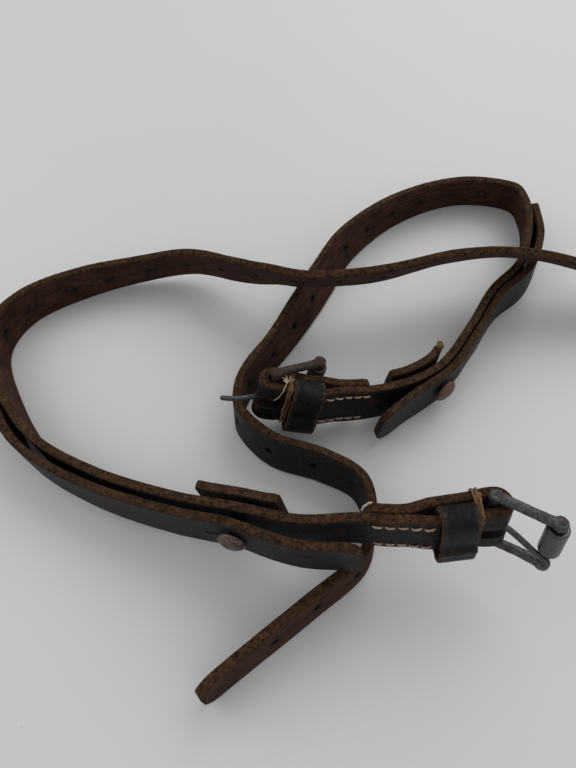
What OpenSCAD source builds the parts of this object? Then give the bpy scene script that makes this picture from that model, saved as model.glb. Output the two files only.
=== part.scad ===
// A pair of leather brace straps with roller buckles, lying on a table.
// The left strap lies over the right one. Each stands mostly on its edge.
// Origin: on the table, under the middle of the pair. +X right, +Y away, +Z up.

/* [Leather] */
// Width of both layers of a strap
strap_w = 16; // [14:0.5:18]
// Thickness of one layer of leather
strap_t = 2.8; // [2.4:0.1:3.2]
// Bevel on the long edges of the leather
edge_bevel = 0.5; // [0.2:0.1:0.8]
// Length folded back behind the buckle
return_len = 32; // [28:0.5:38]
// Diameter of a punched hole
hole_d = 2.6; // [2:0.1:3.2]
// Length of the cut that runs through each hole
hole_cut = 5; // [3.5:0.5:7]

/* [Buckle] */
// Diameter of the buckle's wire
wire_d = 2.6; // [2.2:0.1:3]
// Heel bar to front bar, centre to centre
buckle_reach = 15.5; // [15:0.5:19]
// Outside diameter of the roller
roller_d = 5.2; // [4.6:0.1:5.8]
// Length of the roller
roller_len = 9; // [8:0.5:10]
// Diameter of the tongue's wire
tongue_d = 1.9; // [1.6:0.1:2.2]
// Radial clearance of the roller and of the tongue's eye
running_gap = 0.07; // [0.03:0.01:0.1]

/* [Stud and keeper] */
// Diameter of the stud's domed head
stud_head_d = 8.4; // [7:0.2:10]
// Diameter of the stud's neck
stud_neck_d = 3.4; // [2.8:0.1:4]
// Length of the patch behind the stud
patch_len = 25; // [22:1:30]
// Width of the keeper band
keeper_w = 9.5; // [8:0.5:12]
// Thickness of the keeper's leather
keeper_t = 1.5; // [1.2:0.1:1.6]
// Diameter of the stitching thread
thread_d = 0.9; // [0.6:0.1:1.1]

/* [Hidden] */
$fn = 32;

black_grain = [0.11, 0.12, 0.13];
brown_flesh = [0.30, 0.16, 0.10];
old_steel = [0.36, 0.38, 0.38];
cream_thread = [0.72, 0.58, 0.42];

// Where each strap lies, from the fold at the buckle to the tail:
// [x, y, height of the lower edge, lean of the top edge to the left of the run].
LEFT_RUN = [[36.3, -56.2, 21.3, -12], [13.5, -58, 19.3, -5], [0.5, -56.5, 17.3, -3],
    [-14.5, -56, 14.5, -3], [-31.5, -51, 10, -3], [-51.5, -45.5, 5, -3], [-75, -36.5, 1, -1],
    [-96.5, -24, 0, 2], [-111.5, -5, 0, 5], [-120.5, 15.5, 0, 5], [-114, 32.5, 0, 1],
    [-95.5, 44, 0, -5], [-75, 49.5, 1.5, -14], [-54, 50.5, 5, -17], [-35.5, 42.5, 9.5, -19],
    [-22.5, 36.5, 14, -27], [-7.5, 31, 17.5, -31], [15.5, 33, 18, -29], [40.5, 41, 18, -34],
    [63.5, 43.5, 18, -41], [88, 42, 14, -44], [122.5, 34, 5, -42]];
RIGHT_RUN = [[-22.9, -12.6, 10.8, 9], [-5, -13, 7, 7], [15.5, -8.5, 2.5, 3], [33.5, 1.5, 0, 0],
    [46.5, 18, 0, 0], [57.5, 34.5, 0, 2], [71, 48.5, 0, 5], [79, 68, 0, 9],
    [81, 83, 0, 12], [76.5, 93, 0, 14], [54.5, 95.5, 0, 10], [28.5, 85, 0, -1],
    [7, 65.5, 0, -15], [-4, 46, 0, -23], [-12.5, 30, 0, -21], [-21.5, 14, 0, -11],
    [-29.5, 2.5, 0, -6], [-33, -6, 0, -2], [-32.5, -15, 0, 4], [-22, -25.5, 0, 10],
    [-6.5, -31, 0, 10], [5, -38, 0, 5], [7.5, -50, 0, -3], [4, -61.5, 0, -7],
    [-11, -73.5, 0, -8], [-29.5, -87.5, 0, -7], [-39.5, -95.5, 0, -5]];

// How far the overlay stands off the main strap: [distance from the fold, offset].
LEFT_OFFSET = [[33, 8.2], [45.5, 7], [57.5, 5.6], [69.5, 4.4], [87.5, 4.3], [147.5, 4.7],
    [161.5, 3.4], [169.5, 2.9], [190, 2.9]];
RIGHT_OFFSET = [[33, 9.6], [45.5, 4.6], [55.5, 3.2], [105.5, 3.2], [123.5, 4.2], [139.5, 4.8],
    [147.5, 3.4], [151.5, 2.9], [180, 2.9]];

// Width of the gap between the folded layers: open round the bar, then at the
// keeper's tucked ends, then closed.
LAYER_GAP = [[0, 3.4], [2.5, 3.3], [5, 2.4], [16.5, 2.3], [22, 0.1], [60, 0.1]];

// One side of the pair: [run, flesh side (+1 left of the run, -1 right), overlay offset,
// overlay tip, overlay end, stud, patch centre, first hole, number of holes, hole pitch,
// buckle swing, tongue swing, tongue drop, keeper distance from the heel bar].
LEFT = ["left", LEFT_RUN, -1, LEFT_OFFSET, 33, 173.5, 68.5, 69.5, 193.5, 17, 15.4,
    -37, -37, 4.5, 5.2];
RIGHT = ["right", RIGHT_RUN, 1, RIGHT_OFFSET, 33.5, 154.5, 59.5, 55, 179.5, 19, 14.6,
    -152, 33, -3, 5.8];

function flesh_sign(o) = o[2];
function overlay_gap(o) = o[3];
function overlay_tip(o) = o[4];
function overlay_end(o) = o[5];
function stud_at(o) = o[6];
function patch_at(o) = o[7];
function first_hole(o) = o[8];
function hole_count(o) = o[9];
function hole_pitch(o) = o[10];
function buckle_swing(o) = o[11];
function tongue_swing(o) = o[12];
function tongue_drop(o) = o[13];
function keeper_at(o) = o[14];

fold_slack = 0.4;
closed_gap = 0.1;
mid_offset = (closed_gap + strap_t) / 2;
fold_r = (LAYER_GAP[0][1] + strap_t) / 2;
frame_gap = strap_w + 1.5;
side_bar_z = frame_gap / 2 + wire_d / 2;
tail_round = 5;
station_step = 4.5;

// ---- Smooth paths ----------------------------------------------------------

function blend_point(p0, p1, p2, p3, f) =
    0.5 * (2 * p1 + (p2 - p0) * f + (2 * p0 - 5 * p1 + 4 * p2 - p3) * f * f
    + (3 * p1 - p0 - 3 * p2 + p3) * f * f * f);

function smooth_line(k, n) = let (last = len(k) - 1) concat(
    [for (i = [0:last - 1]) for (j = [0:n - 1])
        blend_point(i > 0 ? k[i - 1] : 2 * k[0] - k[1], k[i], k[i + 1],
            i + 2 <= last ? k[i + 2] : 2 * k[last] - k[last - 1], j / n)],
    [k[last]]);

function place_of(p) = [p[0], p[1], p[2]];

function distances(p) = [for (i = 0, s = 0; i < len(p);
    s = s + (i + 1 < len(p) ? norm(place_of(p[i + 1]) - place_of(p[i])) : 0), i = i + 1) s];

// Four lookup tables over distance along the run: x, y, lower edge, lean.
function run_tables(k) = let (p = smooth_line(k, 6), s = distances(p))
    [for (c = [0:3]) [for (i = [0:len(p) - 1]) [s[i], p[i][c]]]];

left_tables = run_tables(LEFT_RUN);
right_tables = run_tables(RIGHT_RUN);
function tables(o) = o[0] == "left" ? left_tables : right_tables;
function run_length(o) = let (x = tables(o)[0]) x[len(x) - 1][0];

function line_at(o, s) = let (t = tables(o))
    [lookup(s, t[0]), lookup(s, t[1]), max(lookup(s, t[2]), 0)];

function unit(v) = v / norm(v);

// The strap's section at distance s:
// [centre, forward, towards the flesh side, up the width, level towards the flesh side].
function section(o, s) = let (
    reach = 2,
    low = max(s - reach, 0),
    high = min(s + reach, run_length(o)),
    forward = unit(line_at(o, high) - line_at(o, low)),
    left = unit([-forward[1], forward[0], 0]),
    across = cross(forward, left),
    lean = lookup(s, tables(o)[3]),
    up = cos(lean) * across + sin(lean) * left,
    flesh = flesh_sign(o) * (cos(lean) * left - sin(lean) * across),
    lift = strap_w / 2 * up[2] + strap_t / 2 * abs(flesh[2]))
    [line_at(o, s) + [0, 0, lift], forward, flesh, up, flesh_sign(o) * left];

// A point at distance s, moved towards the flesh side and up the width.
function spot(o, s, to_flesh, to_top) = let (c = section(o, s))
    c[0] + to_flesh * c[2] + to_top * c[3];

// Offset of the main layer and of the returned layer from the run's line.
function half_apart(s) = (lookup(s, LAYER_GAP) + strap_t) / 2;
function main_offset(s) = mid_offset - half_apart(s);
function return_offset(s) = mid_offset + half_apart(s);

// ---- Leather ribbons -------------------------------------------------------

// A ribbon's section: [centre, thickness direction, width direction, half width].
function ring_points(r) = let (h = strap_t / 2, w = r[3], b = min(edge_bevel, w / 2))
    [for (q = [[-h, b - w], [b - h, -w], [h - b, -w], [h, b - w],
               [h, w - b], [h - b, w], [b - h, w], [-h, w - b]])
        r[0] + q[0] * r[1] + q[1] * r[2]];

module ribbon(rings, turned) {
    n = 8;
    last = len(rings) - 1;
    points = [for (r = rings) each ring_points(r)];
    walls = [for (i = [0:last - 1]) for (j = [0:n - 1])
        [i * n + j, i * n + (j + 1) % n, (i + 1) * n + (j + 1) % n, (i + 1) * n + j]];
    ends = [[for (j = [n - 1:-1:0]) j], [for (j = [0:n - 1]) last * n + j]];
    faces = concat(walls, ends);
    polyhedron(points, turned ? [for (f = faces) [for (j = [len(f) - 1:-1:0]) f[j]]] : faces,
        convexity = 20);
}

// Half width near a rounded end, at distance d from it.
function rounded_half(d) = d >= tail_round ? strap_w / 2
    : strap_w / 2 - tail_round + sqrt(tail_round * tail_round - pow(tail_round - d, 2));

function along(from, to, step) = let (n = ceil(abs(to - from) / step))
    [for (i = [0:n]) from + (to - from) * i / n];

module main_strap(o) {
    half = strap_w / 2;
    end = run_length(o);
    fold = section(o, 0);
    middle = fold[0] + mid_offset * fold[2];
    return_rings = [for (s = along(return_len, 1.5, station_step)) let (c = section(o, s))
        [c[0] + return_offset(s) * c[2], -c[2], c[3], half]];
    fold_rings = [for (a = [0:20:180])
        let (inward = -cos(a) * fold[2] + sin(a) * fold[1])
        [middle - fold_r * inward, inward, fold[3], half]];
    run_rings = [for (s = concat([1.5], along(4, end - tail_round, station_step)))
        let (c = section(o, s))
        [c[0] + main_offset(s) * c[2], c[2], c[3], half]];
    tail_rings = [for (d = [3, 1.5, 0.5, 0.02]) let (c = section(o, end - d))
        [c[0], c[2], c[3], rounded_half(d)]];
    color(brown_flesh)
    difference() {
        ribbon(concat(return_rings, fold_rings, run_rings, tail_rings), flesh_sign(o) > 0);
        tongue_slot(o);
        for (i = [0:hole_count(o) - 1]) punched_hole(o, first_hole(o) + i * hole_pitch(o));
        drilled(o, stud_at(o), stud_neck_d + 0.1, 0);
    }
}

// Puts children in the strap's section at s: Y towards the flesh side, Z up the width.
module at_section(o, s, to_flesh) {
    c = section(o, s);
    x = cross(c[2], c[3]);
    p = c[0] + to_flesh * c[2];
    multmatrix([[x[0], c[2][0], c[3][0], p[0]], [x[1], c[2][1], c[3][1], p[1]],
        [x[2], c[2][2], c[3][2], p[2]], [0, 0, 0, 1]]) children();
}

module drilled(o, s, d, to_flesh) {
    at_section(o, s, to_flesh) rotate([90, 0, 0]) cylinder(d = d, h = 3 * strap_t, center = true);
}

module punched_hole(o, s) {
    cut_w = 0.5;
    drilled(o, s, hole_d, 0);
    at_section(o, s, 0) cube([hole_cut, 3 * strap_t, cut_w], center = true);
}

// The slot lets the tongue out through the fold.
module tongue_slot(o) {
    slot_w = tongue_d + 2.6;
    slot_len = 13;
    past_fold = 8.5;
    at_heel(o, 0) translate([past_fold - slot_len / 2, 0, -0.2 * tongue_drop(o)])
        cube([slot_len, 6 * strap_t, slot_w], center = true);
}

module overlay_strap(o) {
    half = strap_w / 2;
    tip = overlay_tip(o);
    end = overlay_end(o);
    function overlay_ring(s, h) = let (c = section(o, s))
        [c[0] - lookup(s, overlay_gap(o)) * c[4], c[2], c[3], h];
    tip_rings = [for (d = [0.02, 0.5, 1.5, 3]) overlay_ring(tip + d, rounded_half(d))];
    run_rings = [for (s = along(tip + tail_round, end, station_step)) overlay_ring(s, half)];
    offset_here = lookup(stud_at(o), overlay_gap(o));
    buttonhole_len = 9;
    buttonhole_w = 0.7;
    color(black_grain)
    difference() {
        ribbon(concat(tip_rings, run_rings), flesh_sign(o) > 0);
        drilled(o, stud_at(o), stud_neck_d + 1, -offset_here);
        at_section(o, stud_at(o) + buttonhole_len / 2, -offset_here)
            cube([buttonhole_len, 2.5 * strap_t, buttonhole_w], center = true);
    }
}

// ---- Stud, its washer and the patch ----------------------------------------

flange_t = 1.2;
patch_stand = 0.5;
patch_offset = strap_t + flange_t + patch_stand;
washer_t = 0.8;

module stud(o) {
    head_h = 2.6;
    under_head = lookup(stud_at(o), overlay_gap(o)) + strap_t / 2 + 0.7;
    flange_r = 4;
    flange_face = strap_t / 2 + 0.3;
    shank_end = patch_offset + strap_t / 2 + washer_t + 0.7;
    shank_r = 1.2;
    // Turned about the stud's axis: radius, then height from the head down.
    outline = concat([[0, under_head + head_h]],
        [for (a = [75:-15:15]) [stud_head_d / 2 * cos(a), under_head + 0.5
            + (head_h - 0.5) * sin(a)]],
        [[stud_head_d / 2, under_head + 0.5], [stud_head_d / 2 - 0.4, under_head],
        [stud_neck_d / 2, under_head], [stud_neck_d / 2, -flange_face],
        [flange_r, -flange_face], [flange_r, -flange_face - flange_t],
        [shank_r, -flange_face - flange_t],
        [shank_r, -shank_end], [0, -shank_end]]);
    color(old_steel)
    at_section(o, stud_at(o), 0) rotate([90, 0, 0]) rotate_extrude() polygon(outline);
}

module stud_washer(o) {
    color(old_steel)
    at_section(o, stud_at(o), patch_offset + strap_t / 2 + 0.25) rotate([-90, 0, 0])
        difference() {
            cylinder(d = 6.5, h = washer_t);
            translate([0, 0, -1]) cylinder(d = 2.5, h = washer_t + 2);
        }
}

module stud_patch(o) {
    from = patch_at(o) - patch_len / 2;
    to = patch_at(o) + patch_len / 2;
    half = strap_w / 2 - 0.3;
    rings = [for (s = along(from, to, station_step)) let (c = section(o, s))
        [c[0] + patch_offset * c[2], c[2], c[3], half]];
    color(black_grain)
    difference() {
        ribbon(rings, flesh_sign(o) > 0);
        drilled(o, stud_at(o), 2.5, patch_offset);
    }
}

// ---- Keeper ----------------------------------------------------------------

// The band's line across the strap: [towards the grain side, up the width].
// It is tucked between the layers above and below, and bulges in front.
KEEPER_LINE = [[0, 5.4], [0, 7.8], [0.8, 9.1], [2.8, 9.5], [5.2, 9.1], [6.4, 6.5], [6.9, 1.5],
    [7.3, -3], [7.3, -6.4], [5.8, -9.2], [3.4, -9.8], [0.9, -9.3], [0, -7.8], [0, -5.4]];

function turn_left(v) = [-v[1], v[0]];

function band_outline(p, t) = let (last = len(p) - 1,
    n = [for (i = [0:last]) turn_left(unit(p[min(i + 1, last)] - p[max(i - 1, 0)]))])
    concat([for (i = [0:last]) p[i] + n[i] * t / 2],
        [for (i = [last:-1:0]) p[i] - n[i] * t / 2]);

module keeper(o) {
    line = smooth_line(KEEPER_LINE, 3);
    side = [for (p = band_outline(line, keeper_t)) [-p[0], p[1]]];
    centre = fold_slack + keeper_at(o) + keeper_w / 2;
    color(black_grain)
    at_section(o, centre, mid_offset) rotate([90, 0, 90])
        linear_extrude(keeper_w, center = true) polygon(side);
}

// ---- Thread ----------------------------------------------------------------

module rod(a, b, d) {
    v = b - a;
    tilt = acos(v[2] / norm(v));
    turn = atan2(v[1], v[0]);
    translate(a) rotate([0, tilt, turn]) cylinder(d = d, h = norm(v));
}

// A binding of thread round both layers, between the fold and the keeper.
module keeper_thread(o) {
    s = fold_slack + keeper_at(o) - thread_d;
    d = 0.4;
    lay = half_apart(s) + strap_t / 2 + d / 2 + 0.5;
    top = strap_w / 2 + d / 2 + 0.03;
    corners = [[-lay, top], [lay, top], [lay, -top], [-lay, -top]];
    points = [for (c = corners) spot(o, s, mid_offset + c[0], c[1])];
    color(cream_thread)
    for (i = [0:3]) {
        rod(points[i], points[(i + 1) % 4], d);
        translate(points[i]) sphere(d = 1.2 * d);
    }
}

stitch_pitch = 3.1;
stitch_len = 2.2;
row_height = 5.6;

// One row of stitches seen on the main layer and on the returned layer.
module stitch_row(o, height) {
    first = fold_slack + keeper_at(o) + keeper_w + 1.2;
    count = 5;
    for (i = [0:count - 1]) for (outward = [-1, 1]) {
        s = first + i * stitch_pitch;
        lie = strap_t / 2 + thread_d / 2 + 0.2;
        from = (outward < 0 ? main_offset(s) : return_offset(s)) + outward * lie;
        to = (outward < 0 ? main_offset(s + stitch_len) : return_offset(s + stitch_len))
            + outward * lie;
        rod(spot(o, s, from, height), spot(o, s + stitch_len, to, height), thread_d);
    }
}

module upper_stitches(o) {
    color(cream_thread) stitch_row(o, row_height);
}

module lower_stitches(o) {
    color(cream_thread) stitch_row(o, -row_height);
}

// Stitches that hold the overlay's far end to the main strap.
module join_stitches(o) {
    s = overlay_end(o) - 7;
    lie = strap_t / 2 + thread_d / 2 + 0.2;
    color(cream_thread)
    for (height = [-5.5, 0, 5.5]) for (i = [0, 1]) {
        a = s + i * 3.4;
        b = a + stitch_len;
        rod(spot(o, a, -lookup(a, overlay_gap(o)) - lie, height),
            spot(o, b, -lookup(b, overlay_gap(o)) - lie, height), thread_d);
    }
}

// ---- Buckle ----------------------------------------------------------------

// Puts children at the heel bar: X out of the strap's end, Z up the bar.
module at_heel(o, swing) {
    c = section(o, fold_slack);
    out = -c[1];
    y = cross(c[3], out);
    p = c[0] + mid_offset * c[2];
    multmatrix([[out[0], y[0], c[3][0], p[0]], [out[1], y[1], c[3][1], p[1]],
        [out[2], y[2], c[3][2], p[2]], [0, 0, 0, 1]]) rotate([0, 0, swing]) children();
}

module buckle_frame(o) {
    eye_d = wire_d + 0.9;
    eye_h = wire_d + 0.3;
    bar_len = frame_gap + 2 * wire_d;
    color(old_steel)
    at_heel(o, buckle_swing(o)) {
        for (x = [0, buckle_reach]) translate([x, 0, 0]) {
            cylinder(d = wire_d, h = bar_len, center = true);
            for (z = [-side_bar_z, side_bar_z]) translate([0, 0, z])
                cylinder(d = eye_d, h = eye_h, center = true);
        }
        for (z = [-side_bar_z, side_bar_z]) translate([0, 0, z]) rotate([0, 90, 0])
            cylinder(d = wire_d, h = buckle_reach);
    }
}

module roller(o) {
    clear_d = wire_d + 2 * running_gap;
    rise = 3;
    color(old_steel)
    at_heel(o, buckle_swing(o)) translate([buckle_reach, 0, rise]) difference() {
        cylinder(d = roller_d, h = roller_len, center = true);
        cylinder(d = clear_d, h = roller_len + 2, center = true);
    }
}

// The tongue's eye turns on the heel bar, and its wire lies beside the front bar.
module tongue(o) {
    eye_h = 2.4;
    bore_d = wire_d + 2 * running_gap;
    tip_y = -(wire_d + tongue_d) / 2 - 0.5;
    color(old_steel)
    at_heel(o, tongue_swing(o)) difference() {
        union() {
            cylinder(d = bore_d + 2.2, h = eye_h, center = true);
            rod([1, 0, 0], [buckle_reach + 1.1, tip_y, -tongue_drop(o)], tongue_d);
        }
        cylinder(d = bore_d, h = eye_h + 2, center = true);
    }
}

// ---- Every piece -----------------------------------------------------------

main_strap(LEFT);  // left_main_strap
overlay_strap(LEFT);  // left_overlay_strap
stud(LEFT);  // left_stud
stud_washer(LEFT);  // left_stud_washer
stud_patch(LEFT);  // left_stud_patch
keeper(LEFT);  // left_keeper
keeper_thread(LEFT);  // left_keeper_thread
upper_stitches(LEFT);  // left_upper_stitches
lower_stitches(LEFT);  // left_lower_stitches
join_stitches(LEFT);  // left_join_stitches
buckle_frame(LEFT);  // left_buckle_frame
roller(LEFT);  // left_roller
tongue(LEFT);  // left_tongue
main_strap(RIGHT);  // right_main_strap
overlay_strap(RIGHT);  // right_overlay_strap
stud(RIGHT);  // right_stud
stud_washer(RIGHT);  // right_stud_washer
stud_patch(RIGHT);  // right_stud_patch
keeper(RIGHT);  // right_keeper
keeper_thread(RIGHT);  // right_keeper_thread
upper_stitches(RIGHT);  // right_upper_stitches
lower_stitches(RIGHT);  // right_lower_stitches
join_stitches(RIGHT);  // right_join_stitches
buckle_frame(RIGHT);  // right_buckle_frame
roller(RIGHT);  // right_roller
tongue(RIGHT);  // right_tongue
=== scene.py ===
import math

import bmesh
import bpy
import numpy as np
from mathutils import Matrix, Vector, noise


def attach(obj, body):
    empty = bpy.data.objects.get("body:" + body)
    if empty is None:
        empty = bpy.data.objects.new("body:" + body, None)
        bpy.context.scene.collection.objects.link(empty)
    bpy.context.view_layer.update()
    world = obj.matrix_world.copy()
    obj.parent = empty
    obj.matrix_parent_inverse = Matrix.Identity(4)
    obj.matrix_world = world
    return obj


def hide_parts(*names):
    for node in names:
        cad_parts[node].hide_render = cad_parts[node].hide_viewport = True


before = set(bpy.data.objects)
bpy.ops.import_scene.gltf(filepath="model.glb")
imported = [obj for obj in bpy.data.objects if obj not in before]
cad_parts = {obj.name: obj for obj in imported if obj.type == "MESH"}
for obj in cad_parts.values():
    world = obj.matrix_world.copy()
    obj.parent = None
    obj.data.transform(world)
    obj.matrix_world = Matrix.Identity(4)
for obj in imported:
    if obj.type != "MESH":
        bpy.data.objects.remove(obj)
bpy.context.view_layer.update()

# Shapes are worked out in millimetres, in the frame's axes, and scaled once by new_object.
# Lights, the camera and the scales of the materials' noise are in metres.
MM = 0.001
# Driving sizes, as in the CAD model.
STRAP_W, STRAP_T, RETURN_LEN, HOLE_D, HOLE_CUT = 16.0, 2.8, 32.0, 2.6, 5.0
WIRE_D, REACH, ROLLER_D, ROLLER_LEN, TONGUE_D = 2.6, 15.5, 5.2, 9.0, 1.9
KEEPER_W, KEEPER_T, PATCH_LEN, STUD_D = 9.5, 1.5, 25.0, 8.4
FOLD_SLACK, CLOSED_GAP = 0.4, 0.1
MID = (CLOSED_GAP + STRAP_T) / 2
SIDE_BAR_Z = (STRAP_W + 1.5) / 2 + WIRE_D / 2
RUNNING_GAP, ROLLER_RISE = 0.07, 3.0
FLANGE_T, PATCH_STAND, WASHER_T = 1.2, 0.5, 0.8
PATCH_OFFSET = STRAP_T + FLANGE_T + PATCH_STAND
STITCH_PITCH, STITCH_LEN, ROW_HEIGHT = 3.1, 2.35, 5.6
STATION = 0.7
ODD_DIRECTION = (0.3, 0.5, 0.81)

# A strap's run: x, y, height of its lower edge, and its lean in degrees.
LEFT_RUN = [
    (36.3, -56.2, 21.3, -12), (13.5, -58, 19.3, -5), (0.5, -56.5, 17.3, -3),
    (-14.5, -56, 14.5, -3), (-31.5, -51, 10, -3), (-51.5, -45.5, 5, -3), (-75, -36.5, 1, -1),
    (-96.5, -24, 0, 2), (-111.5, -5, 0, 5), (-120.5, 15.5, 0, 5), (-114, 32.5, 0, 1),
    (-95.5, 44, 0, -5), (-75, 49.5, 1.5, -14), (-54, 50.5, 5, -17), (-35.5, 42.5, 9.5, -19),
    (-22.5, 36.5, 14, -27), (-7.5, 31, 17.5, -31), (15.5, 33, 18, -29), (40.5, 41, 18, -34),
    (63.5, 43.5, 18, -41), (88, 42, 14, -44), (122.5, 34, 5, -42)]
RIGHT_RUN = [
    (-22.9, -12.6, 10.8, 9), (-5, -13, 7, 7), (15.5, -8.5, 2.5, 3), (33.5, 1.5, 0, 0),
    (46.5, 18, 0, 0), (57.5, 34.5, 0, 2), (71, 48.5, 0, 5), (79, 68, 0, 9),
    (81, 83, 0, 12), (76.5, 93, 0, 14), (54.5, 95.5, 0, 10), (28.5, 85, 0, -1),
    (7, 65.5, 0, -15), (-4, 46, 0, -23), (-12.5, 30, 0, -21), (-21.5, 14, 0, -11),
    (-29.5, 2.5, 0, -6), (-33, -6, 0, -2), (-32.5, -15, 0, 4), (-22, -25.5, 0, 10),
    (-6.5, -31, 0, 10), (5, -38, 0, 5), (7.5, -50, 0, -3), (4, -61.5, 0, -7),
    (-11, -73.5, 0, -8), (-29.5, -87.5, 0, -7), (-39.5, -95.5, 0, -5)]
# Distance along the strap, and from the main strap's middle to the overlay's.
LEFT_OFFSET = [(33, 8.2), (45.5, 7), (57.5, 5.6), (69.5, 4.4), (87.5, 4.3), (147.5, 4.7),
               (161.5, 3.4), (169.5, 2.9), (190, 2.9)]
RIGHT_OFFSET = [(33, 9.6), (45.5, 4.6), (55.5, 3.2), (105.5, 3.2), (123.5, 4.2), (139.5, 4.8),
                (147.5, 3.4), (151.5, 2.9), (180, 2.9)]
# Distance along the strap, and the gap between the main layer and the returned one.
LAYER_GAP = [(0, 3.4), (2.5, 3.3), (5, 2.4), (16.5, 2.3), (22, 0.1), (60, 0.1)]
# The keeper's line round the layers: towards the grain side, and up.
KEEPER_LINE = [(0, 5.4), (0, 7.8), (0.8, 9.1), (2.8, 9.5), (5.2, 9.1), (6.4, 6.5), (6.9, 1.5),
               (7.3, -3), (7.3, -6.4), (5.8, -9.2), (3.4, -9.8), (0.9, -9.3), (0, -7.8),
               (0, -5.4)]


# ---- Where the straps lie --------------------------------------------------

def smooth_line(knots, n):
    """A smooth curve through the knots, with n points to each span."""
    k = np.array(knots, float)
    k = np.vstack([2 * k[0] - k[1], k, 2 * k[-1] - k[-2]])
    out = []
    for i in range(1, len(k) - 2):
        p0, p1, p2, p3 = k[i - 1:i + 3]
        for f in np.arange(n) / n:
            out.append(0.5 * (2 * p1 + (p2 - p0) * f + (2 * p0 - 5 * p1 + 4 * p2 - p3) * f * f
                              + (3 * p1 - p0 - 3 * p2 + p3) * f ** 3))
    out.append(k[-2])
    return np.array(out)


def unit(v):
    return v / np.linalg.norm(v)


def table(rows, s, blur=0.0):
    """Looks s up in (place, value) rows, averaged over blur to each side."""
    x, y = zip(*rows)
    if not blur:
        return float(np.interp(s, x, y))
    return float(np.mean([np.interp(s + d, x, y) for d in np.linspace(-blur, blur, 9)]))


class Strap:
    """One strap's line on the table, and the sections along it."""

    def __init__(self, side, knots, flesh_sign, offset, places):
        self.side, self.sign, self.offset = side, flesh_sign, offset
        for name, value in places.items():
            setattr(self, name, value)
        p = smooth_line(knots, 24)
        steps = np.linalg.norm(np.diff(p[:, :3], axis=0), axis=1)
        self.s = np.concatenate([[0], np.cumsum(steps)])
        self.p, self.length = p, self.s[-1]

    def line(self, s):
        """The strap's lower edge, never under the table."""
        v = np.array([np.interp(s, self.s, self.p[:, c]) for c in range(3)])
        v[2] = max(v[2], 0)
        return v

    def section(self, s):
        """Centre, forward, towards the flesh side, up the width, level towards the flesh."""
        forward = unit(self.line(min(s + 2, self.length)) - self.line(max(s - 2, 0)))
        left = unit(np.array([-forward[1], forward[0], 0.0]))
        across = np.cross(forward, left)
        lean = math.radians(np.interp(s, self.s, self.p[:, 3]))
        up = math.cos(lean) * across + math.sin(lean) * left
        flesh = self.sign * (math.cos(lean) * left - math.sin(lean) * across)
        lift = STRAP_W / 2 * up[2] + STRAP_T / 2 * abs(flesh[2])
        return self.line(s) + np.array([0, 0, lift]), forward, flesh, up, self.sign * left

    def spot(self, s, to_flesh, to_top):
        """A point beside the strap's centre line."""
        c = self.section(s)
        return c[0] + to_flesh * c[2] + to_top * c[3]

    def heel(self, swing=0.0):
        """Origin and axes at the heel bar: out of the strap's end, sideways, up the bar."""
        c = self.section(FOLD_SLACK)
        up, out = c[3], -c[1]
        y = np.cross(up, out)
        a = math.radians(swing)
        return (c[0] + MID * c[2], math.cos(a) * out + math.sin(a) * y,
                math.cos(a) * y - math.sin(a) * out, up)


# Places are distances along the strap from the fold: the overlay's tip and end, the stud, the
# patch's middle and the first hole. Swing and tongue are degrees. Drop is how far the tongue's
# tip lies down the front bar, and keeper how far the keeper is from the fold.
LEFT = Strap("left", LEFT_RUN, -1, LEFT_OFFSET, dict(
    tip=33, end=173.5, stud=68.5, patch=69.5, hole=193.5, holes=17, pitch=15.4,
    swing=-37, tongue=-37, drop=4.5, keeper=5.2))
RIGHT = Strap("right", RIGHT_RUN, 1, RIGHT_OFFSET, dict(
    tip=33.5, end=154.5, stud=59.5, patch=55, hole=179.5, holes=19, pitch=14.6,
    swing=-152, tongue=33, drop=-3, keeper=5.8))


def half_apart(s):
    """Half the distance between the middles of the main and the returned layer."""
    return (table(LAYER_GAP, s, 1.0) + STRAP_T) / 2


def fade(x, a, b):
    return float(np.clip((x - a) / (b - a), 0, 1))


def grit(x, y, z=0.37):
    """Smooth noise from -1 to 1."""
    return noise.noise(Vector((x, y, z)))


# ---- Mesh helpers ----------------------------------------------------------

def new_object(name, verts, faces, smooth=True):
    mesh = bpy.data.meshes.new(name)
    mesh.from_pydata([tuple(np.array(v) * MM) for v in verts], [], faces)
    mesh.validate()
    obj = bpy.data.objects.new(name, mesh)
    bpy.context.scene.collection.objects.link(obj)
    mesh.polygons.foreach_set("use_smooth", [smooth] * len(mesh.polygons))
    return obj


def outward(obj):
    """Points every face out of the solid."""
    bm = bmesh.new()
    bm.from_mesh(obj.data)
    bmesh.ops.recalc_face_normals(bm, faces=bm.faces)
    bm.to_mesh(obj.data)
    bm.free()


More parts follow.
